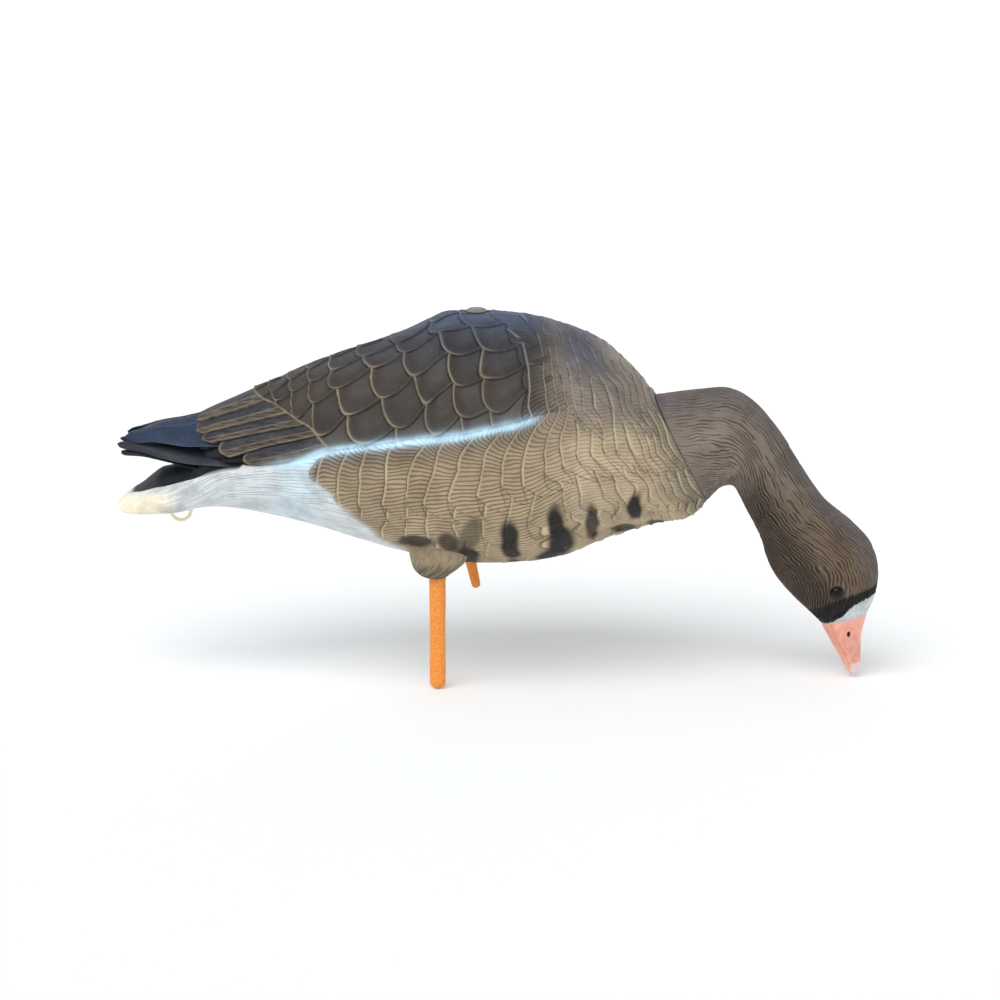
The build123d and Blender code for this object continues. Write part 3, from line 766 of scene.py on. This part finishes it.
def carveBill(points, run, arc):
    x, z = points[..., 0], points[..., 2]
    full = arc.max(1, keepdims=True)
    nx, nz = billForm["nostrilSize"]
    cx, cz = billForm["nostril"]
    pit = np.sqrt(((x - cx) / nx) ** 2 + ((z - cz) / nz) ** 2)
    hollow = np.sqrt(((x - cx + 0.04 * (z - cz)) / 5) ** 2 + ((z - cz + 4) / 11) ** 2)
    mouth = np.abs(np.abs(arc / full - 0.5) - 0.14 - 0.05 * ease(-z, 60, 95)) * full
    rise = -1.9 * (1 - ease(pit, 0.55, 1.1)) - 0.55 * (1 - ease(hollow, 0.75, 1.05))
    rise = rise - 0.55 * line(mouth, 0.55)
    nail = ease(-z, 91, 93.5) * ease(x, 336, 340)
    rise = rise + 0.45 * nail + 0.12 * cloud(run / 9, arc / 4, 31)
    patchy = ease(cloud(run / 7, arc / 6, 32), -0.3, 0.4)[..., None]
    colour = mix(tint(244, 168, 148), tint(249, 188, 170), patchy)
    colour = brush(colour, tint(226, 136, 114), 0.45 * line(hollow - 1, 0.12) + 0.5 * line(mouth, 0.7))
    colour = brush(colour, tint(30, 12, 10), 1 - ease(pit, 0.75, 1.15))
    colour = brush(colour, tint(246, 230, 230), 0.85 * nail)
    return rise, np.clip(colour, 0, 1)


# Closed loft with its colours, moved sideways, and closed at both ends in a point
def buildLoft(form, carve, name, body, material, stands, moved=0.0):
    t = evenStations(form["stations"], form["rows"])
    points = loft(form["stations"], t, np.linspace(0, 2 * np.pi, form["columns"], endpoint=False))
    normals = gridNormals(points, wrap=True)
    step = np.linalg.norm(np.diff(points, axis=1, prepend=points[:, -1:]), axis=2)
    step[:, 0] = 0
    arc = np.cumsum(step, axis=1)
    run = np.r_[0, np.cumsum(np.linalg.norm(np.diff(points.mean(1), axis=0), axis=1))][:, None] + 0 * arc
    rise, colour = carve(points, run, arc)
    points = points + normals * rise[..., None]
    ends = [np.tile(points[i].mean(0), (1, points.shape[1], 1)) for i in (0, -1)]
    points = np.concatenate([ends[0], points, ends[1]]) + (0, moved, 0)
    colour = np.concatenate([colour[:1], colour, colour[-1:]])
    nothing = np.zeros(points.shape[0] * points.shape[1])
    return makePiece(name, points.reshape(-1, 3), gridFaces(*points.shape[:2], wrap=True), body,
                     material, stands, colour.reshape(-1, 3), {"comb": nothing, "barb": nothing})


buildNeck()
billPaint = paintedMoulding("billPaint", gloss=0.4)
buildLoft(billForm, carveBill, "bill", "head", billPaint, [])
print("head carved")

# Thighs: lumps that swell out of the belly down to the legs

legForm = {
    "spread": 45, "mouth": -4.7,
    "right": {"x": -34.0, "lean": 0.0, "length": 102.0, "top": (7.2, 5.8), "end": (7.0, 5.6), "side": -1},
    "left": {"x": -8.2, "lean": 12.5, "length": 33.0, "top": (5.5, 5.2), "end": (4.0, 3.8), "side": 1},
    "peg": 4.5, "pegLength": 38.0,
}
thighForm = {
    "rows": 150, "columns": 170,
    # front x, height, rear x, height, half width, counted from the leg's axis
    "stations": [
        (30, 34, -26, 36, 7, 1, 1),
        (29, 20, -26, 25, 12, 1, 1),
        (25, 10, -24.5, 14, 15.5, 1, 1),
        (19.5, 4.5, -22, 5.5, 16, 1, 1),
        (13.5, 0.2, -18.5, 0.2, 14.5, 1, 1),
        (9, -3.2, -13.5, -3.2, 11.5, 1, 1),
        (6.5, -4.6, -8.5, -4.6, 8, 1, 1),
        (4.4, -4.7, -4.4, -4.7, 4.6, 1, 1),
    ],
}


# Hairy thigh: short fine strands that run down towards the leg
def carveThigh(points, run, arc):
    strand = cloud(run / 7 + arc / 30, arc / 1.7, 41) + 0.5 * cloud(run / 3.5, arc / 1.1, 42)
    low = ease(-points[..., 2], -14, 4)
    rise = -0.5 * ease(strand, 0, 0.35) + 0.25 * cloud(run / 12, arc / 9, 43)
    colour = mix(tint(124, 110, 90), tint(104, 92, 76), low[..., None])
    lower = 1 - 0.6 * ease(points[..., 2], 8, 24)
    colour = brush(colour, tint(168, 150, 122), ease(points[..., 2], 3, 17))
    # painted shade: darker in the strand grooves, more so lower down
    colour = brush(colour, colour * 0.5, 0.7 * ease(strand, 0.0, 0.32) * lower)
    colour = brush(colour, tint(158, 142, 116), 0.45 * ease(-strand, 0.1, 0.35))
    return rise * (1 - ease(run, run.max() - 8, run.max() - 3)), np.clip(colour, 0, 1)


for name in ("right", "left"):
    leg = legForm[name]
    stations = [(a + leg["x"], b, c + leg["x"], d, e, f, g) for a, b, c, d, e, f, g in thighForm["stations"]]
    form = dict(thighForm, stations=stations)
    buildLoft(form, carveThigh, name + "Thigh", "body", neckPaint, [],
              moved=leg["side"] * legForm["spread"])
print("thighs ready")

# Legs: oval pegs with a net of small scales, a plug above and a rounded end


def legFinish():
    w = Wiring("legOrange")
    net = w.add("ShaderNodeTexVoronoi", feature="DISTANCE_TO_EDGE")
    place = w.add("ShaderNodeMapping")
    place.inputs["Scale"].default_value = (1, 1, 0.62)
    w.join(w.add("ShaderNodeTexCoord").outputs["Object"], place.inputs["Vector"])
    w.join(place.outputs[0], net.inputs["Vector"])
    net.inputs["Scale"].default_value = 520
    cracks = w.ramp(net.outputs["Distance"], 0.0, 0.2)
    base = w.blend(tuple(tint(228, 128, 42)), tuple(tint(252, 164, 68)), cracks)
    base = w.blend(base, tuple(tint(242, 142, 50)), w.ramp(w.noise(70, 4), 0.4, 0.7, 0, 0.7))
    w.join(base, w.shader.inputs["Base Color"])
    w.join(w.ramp(w.noise(300, 3), 0.3, 0.7, 0.45, 0.62), w.shader.inputs["Roughness"])
    w.join(w.bump(cracks, 0.25, 0.7, w.bump(w.noise(1500, 2), 0.1, 0.4)), w.shader.inputs["Normal"])
    w.shader.inputs["Subsurface Weight"].default_value = 0.08
    w.shader.inputs["Subsurface Radius"].default_value = (0.004, 0.0015, 0.0006)
    return w.material


# Side line of a leg from the plug's top to the rounded end: distance along the axis and both half widths
def buildLeg(name, material):
    leg = legForm[name]
    peg, up = legForm["peg"], legForm["pegLength"]
    turn = np.linspace(0, np.pi / 2, 14)
    shank = np.linspace(0, 1, 150)
    endLength = 0.8 * leg["end"][0]
    wide = np.array([mix(leg["top"][i], leg["end"][i], shank) for i in (0, 1)])
    wide = wide * (1 + 0.02 * np.sin(shank * 9) + 0.05 * np.exp(-shank * 30))
    down = -shank * (leg["length"] - endLength)
    heights = np.r_[up, up, up - 1, 0, 0, down, down[-1] - endLength * np.sin(turn)]
    reach = [np.r_[0, peg - 0.8, peg, peg, half[0] - 0.5, half, half[-1] * np.cos(turn)] for half in wide]
    angle = np.linspace(0, 2 * np.pi, 96, endpoint=False)
    across = reach[0][:, None] * np.cos(angle)
    side = reach[1][:, None] * np.sin(angle)
    scale = 0.16 * cloud(heights[:, None] / 1.6, angle[None] * 5, 51) * (heights[:, None] < -2)
    across, side = across * (1 + scale / 7), side * (1 + scale / 7)
    lean = np.radians(leg["lean"])
    x = leg["x"] + across * np.cos(lean) - heights[:, None] * np.sin(lean)
    z = legForm["mouth"] + across * np.sin(lean) + heights[:, None] * np.cos(lean)
    points = np.stack([x, leg["side"] * legForm["spread"] + side, z], -1)
    makePiece(name + "LegPeg", points.reshape(-1, 3), gridFaces(*points.shape[:2], wrap=True), name + "_leg",
              material, [name + "_leg"])


orange = legFinish()
for name in ("right", "left"):
    buildLeg(name, orange)
print("legs ready")

# Wing tips: three stacked blades on each side, drawn by their upper and lower edges

bladeForm = {
    "rows": 170, "columns": 110, "thick": 1.0, "arch": 2.2,
    "upper": [
        [(-205, -2, 144.6), (-235, -2, 138), (-261, -2, 131.7), (-283, -4, 127.1),
         (-300, -7, 121.3), (-309, -8.5, 119), (-313.5, -10, 115.2)],
        [(-205, -16, 112), (-232, -14, 115), (-258, -10, 116), (-283, -10, 114.5),
         (-303, -11, 111.5), (-316, -10.5, 110.6), (-320.5, -11.5, 109)],
        [(-205, -14, 100), (-232, -10, 102), (-257, -8, 104), (-280, -8, 104.5),
         (-299, -9, 103.5), (-313, -9.5, 102.9), (-317.4, -10.5, 102)],
    ],
    "lower": [
        [(-205, -49, 113), (-234.6, -47, 114), (-258, -38, 111.9), (-285.6, -27, 113.4),
         (-300, -20, 111.2), (-309, -14, 111.4), (-313.5, -12.5, 113)],
        [(-207, -50, 95), (-232.2, -46, 96.3), (-253, -39, 96), (-275, -31, 98.3),
         (-298.5, -21, 103), (-316, -15, 105), (-320.5, -12.5, 107.6)],
        [(-205, -42, 88), (-232, -38, 89), (-254, -32, 91), (-272, -26, 94.3),
         (-296, -19.5, 98.3), (-313, -14, 98.4), (-317.4, -12, 99.6)],
    ],
    # blue-black tones; their blue, strongest on the top blade, is painted sky reflection
    "tone": [tint(34, 52, 80), tint(36, 43, 53), tint(24, 26, 30)],
}


# Flat leaf between its two edges: closed round its rim, arched between them, with a quill along it
def buildBlade(number, side, material):
    t = np.linspace(0, len(bladeForm["upper"][number]) - 1, bladeForm["rows"])
    upper = smoothRows(bladeForm["upper"][number], t)[:, None]
    lower = smoothRows(bladeForm["lower"][number], t)[:, None]
    angle = np.linspace(0, 2 * np.pi, bladeForm["columns"], endpoint=False)[None, :, None]
    across = (1 - np.cos(angle)) / 2
    face = np.sin(angle)
    flat = mix(upper, lower, across)
    outward = np.cross(lower - upper, np.gradient(upper, axis=0))
    outward = outward / np.linalg.norm(outward, axis=-1, keepdims=True)
    outward = outward * np.where(outward[..., 2:] > 0, 1, -1)
    width = np.linalg.norm(lower - upper, axis=-1, keepdims=True)
    thin = np.clip(width / 14, 0.15, 1)
    quill = 0.55 * line(across - 0.38, 0.03) - 0.25 * line(across - 0.44, 0.03)
    waves = 0.35 * cloud(t[:, None, None] * 5, across * 7, 61 + number) * np.sign(face)
    lift = bladeForm["thick"] * face + bladeForm["arch"] * thin * 4 * across * (1 - across)
    points = flat + outward * (lift + (quill + waves) * (face > 0) * thin)
    last = np.tile(points[-1:].mean(1, keepdims=True), (1, points.shape[1], 1))
    points = np.concatenate([points, last]) * (1, -side, 1)
    place = np.broadcast_to(across, flat.shape)[..., 0]
    strokes = cloud(t[:, None] * 9, place * 26, 64 + number)
    colour = bladeForm["tone"][number] * (1 + 0.35 * strokes)[..., None]
    colour = brush(colour, tint(84, 88, 96), 0.4 * line(place - 0.38, 0.02) + 0.35 * ease(place, 0.965, 1))
    if number:                     # shadow under the lower edge of the blade above
        x, z = sideView(flat)
        above = np.array(bladeForm["lower"][number - 1], float)[::-1]
        hung = z - np.interp(x, *sideView(above))
        colour = brush(colour, tone["gap"], 0.9 * ease(hung, -4.0, -1.2))
    colour = np.concatenate([colour, colour[-1:]])
    barb = np.concatenate([place * 20 + t[:, None] * 9, place[-1:] * 20])
    makePiece(("left" if side > 0 else "right") + "WingTip" + str(number + 1), points.reshape(-1, 3),
              gridFaces(*points.shape[:2], wrap=True), "body", material, [],
              np.clip(colour, 0, 1).reshape(-1, 3), {"comb": 0.5 + barb.ravel() * 0, "barb": barb.ravel()})


for side in (-1, 1):
    for number in range(3):
        buildBlade(number, side, quillPaint)
print("wing tips ready")

# Eyes, back cap and tail ring


# Turned part: a side line of radius and height spun about an axis through centre
def turned(line, centre, axis, columns, squash=1.0):
    angle = np.linspace(0, 2 * np.pi, columns, endpoint=False)
    radius, height = np.array(line, float).T
    a, b = radius[:, None] * np.cos(angle), radius[:, None] * np.sin(angle) * squash
    h = height[:, None] + 0 * a
    order = {"z": (a, b, h), "y": (b, h, a), "-y": (a, -h, b)}[axis]
    return np.stack(order, -1) + np.array(centre)


def eyeFinish():
    w = Wiring("eyeGlass")
    brown = w.ramp(w.noise(260, 3), 0.45, 0.75)
    w.join(w.blend(tuple(tint(5, 4, 4)), tuple(tint(20, 14, 9)), brown), w.shader.inputs["Base Color"])
    w.join(w.ramp(w.noise(500, 2), 0.3, 0.7, 0.05, 0.11), w.shader.inputs["Roughness"])
    w.shader.inputs["Specular IOR Level"].default_value = 0.18
    w.shader.inputs["Coat Weight"].default_value = 0.12
    w.shader.inputs["Coat Roughness"].default_value = 0.03
    return w.material


eyeGlass = eyeFinish()
eyeForm = {"radius": 7.0, "rows": 60}
for name, axis in (("right", "-y"), ("left", "y")):
    low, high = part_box(name + "_eye")
    half = eyeForm["radius"]
    outer = (low.y if name == "right" else high.y) / mm
    inner = outer + (half if name == "right" else -half)
    centre = ((low.x + high.x) / 2 / mm, inner, (low.z + high.z) / 2 / mm)
    angle = np.linspace(0, np.pi, eyeForm["rows"])
    points = turned(np.c_[half * np.sin(angle), half * np.cos(angle)], centre, axis, 80)
    makePiece(name + "Eyeball", points.reshape(-1, 3), gridFaces(*points.shape[:2], wrap=True), "head",
              eyeGlass, [name + "_eye"])

capLow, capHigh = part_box("back_cap")
capForm = {
    "rim": (capHigh.x - capLow.x) / 2 / mm, "stem": 7.0, "hole": 4.05, "holeDepth": 6,
    "bottom": capLow.z / mm, "top": capHigh.z / mm, "rise": 3.6,
}
seat = capForm["top"] - capForm["rise"]
dome = np.linspace(0, np.pi / 2, 26)
stem, rim, hole, bottom = [capForm[key] for key in ("stem", "rim", "hole", "bottom")]
capLine = [(0, bottom + capForm["holeDepth"]), (hole, bottom + capForm["holeDepth"]), (hole, bottom),
           (stem, bottom), (stem, seat), (rim, seat), (rim + 0.15, seat + 0.5)]
capLine += [(0.2 + (rim - 0.2) * np.cos(a) ** 0.8, seat + 0.9 + (capForm["rise"] - 0.9) * np.sin(a))
            for a in dome]
capLine += [(0, capForm["top"])]
points = turned(capLine, ((capLow.x + capHigh.x) / 2 / mm, 0, 0), "z", 96)
capPlastic = plainFinish("capPlastic", tint(138, 132, 120), 0.55, wear=0.28, grain=700, depth=0.15)
makePiece("backCapDome", points.reshape(-1, 3), gridFaces(*points.shape[:2], wrap=True), "body", capPlastic,
          ["back_cap"])

ringLow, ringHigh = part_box("tail_ring")
ringMiddle = (ringLow + ringHigh) / 2 / mm
wire = (ringHigh.y - ringLow.y) / 2 / mm
around = np.linspace(0, 2 * np.pi, 120, endpoint=False)[:, None]
section = np.linspace(0, 2 * np.pi, 36, endpoint=False)[None]
thickness = wire * (1 + 0.04 * np.sin(3 * around + 1) + 0.05 * line(np.sin(section / 2), 0.12))
radius = (ringHigh.x - ringLow.x) / 2 / mm - wire + thickness * np.cos(section) * 0.97
points = np.stack([radius * np.cos(around), thickness * np.sin(section), radius * np.sin(around)], -1)
points = points + np.array(ringMiddle)
ringFaces = gridFaces(*points.shape[:2], wrap=True)
rows, columns = points.shape[:2]
first = np.arange(columns)         # the last row joins the first
beside = (first + 1) % columns
lastRow = (rows - 1) * columns
ringFaces = np.concatenate([ringFaces, np.stack([first + lastRow, beside + lastRow, beside, first], -1)])
creamPlastic = plainFinish("creamPlastic", tint(248, 238, 204), 0.42, wear=0.1, grain=900, depth=0.06)
makePiece("tetherRing", points.reshape(-1, 3), ringFaces, "tail_ring", creamPlastic,
          ["tail_ring"])

# Pieces kept from the frame get their own finishes

brushed = plainFinish("brushedSteel", tint(176, 176, 172), 0.34, metal=1.0, grain=1600,
                      stretch=(1, 1, 0.08), depth=0.03)
nylon = plainFinish("blackNylon", tint(34, 34, 35), 0.55, grain=900, depth=0.1)
acetal = plainFinish("whiteAcetal", tint(226, 226, 220), 0.4, grain=900, wear=0.08)
rubber = plainFinish("blackRubber", tint(24, 24, 25), 0.75, grain=500, depth=0.15)
keptFinishes = {
    "stake_tube": brushed, "turn_stop_pin": brushed, "ring_eyelet": brushed, "eyelet_nut": brushed,
    "thrust_washer": acetal, "neck_friction_ring": rubber, "belly_bushing": nylon, "neck_collar": nylon,
    "neck_plug": nylon, "tube_end_plug": nylon, "tube_keeper": nylon,
    "right_leg_sleeve": nylon, "left_leg_sleeve": nylon,
}
for node, finish in keptFinishes.items():
    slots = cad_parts[node].data.materials
    slots.clear()
    slots.append(finish)
print("small pieces ready")

# Camera, light and floor

studio = {"azimuth": 1, "elevation": 13, "distance": 3600, "target": (20.9, 0, 55.7), "lens": 144.4,
          "floor": -0.6}
az, el = np.radians(studio["azimuth"]), np.radians(studio["elevation"])
back = np.array([np.sin(az) * np.cos(el), -np.cos(az) * np.cos(el), np.sin(el)])
camera = bpy.data.objects.new("camera", bpy.data.cameras.new("camera"))
bpy.context.scene.collection.objects.link(camera)
camera.location = Vector((np.array(studio["target"]) + back * studio["distance"]) * mm)
camera.rotation_euler = Vector(-back).to_track_quat("-Z", "Y").to_euler()
camera.data.lens = studio["lens"]
bpy.context.scene.camera = camera

# Round pale floor that curves up into a low wall, so no horizon shows
floorForm = {"flat": 5.0, "bend": 2.0, "wall": 2.5}
bend = np.linspace(0, np.pi / 2, 24)[1:]
floorLine = [(0, 0), (floorForm["flat"], 0)]
floorLine += [(floorForm["flat"] + floorForm["bend"] * np.sin(a), floorForm["bend"] * (1 - np.cos(a)))
              for a in bend]
floorLine += [(floorForm["flat"] + floorForm["bend"], floorForm["bend"] + floorForm["wall"])]
floorZ = cadBox[0].z + studio["floor"] * mm
points = turned(floorLine, (0, 0, floorZ), "z", 96)
floorMesh = bpy.data.meshes.new("floor")
floorMesh.from_pydata(points.reshape(-1, 3).tolist(), [], gridFaces(*points.shape[:2], wrap=True).tolist())
floorMesh.polygons.foreach_set("use_smooth", np.ones(len(floorMesh.polygons), bool))
floor = bpy.data.objects.new("floor", floorMesh)
bpy.context.scene.collection.objects.link(floor)
floorMesh.materials.append(plainFinish("paleFloor", tint(252, 252, 252), 0.85, wear=0.01))

sky = bpy.data.lights.new("softSun", "SUN")       # a very wide sun, like one large soft box
sky.energy, sky.angle, sky.color = 1.9, np.radians(50), (1.0, 0.99, 0.97)
lamp = bpy.data.objects.new("softSun", sky)
bpy.context.scene.collection.objects.link(lamp)
lamp.rotation_euler = Vector((0.45, 1.0, -1.35)).to_track_quat("-Z", "Y").to_euler()
world = bpy.data.worlds.new("studio")
bpy.context.scene.world = world
world.use_nodes = True
world.node_tree.nodes["Background"].inputs[0].default_value = (0.90, 0.95, 1.0, 1)
world.node_tree.nodes["Background"].inputs[1].default_value = 0.62
bpy.context.scene.view_settings.view_transform = "Standard"

print("scene ready")
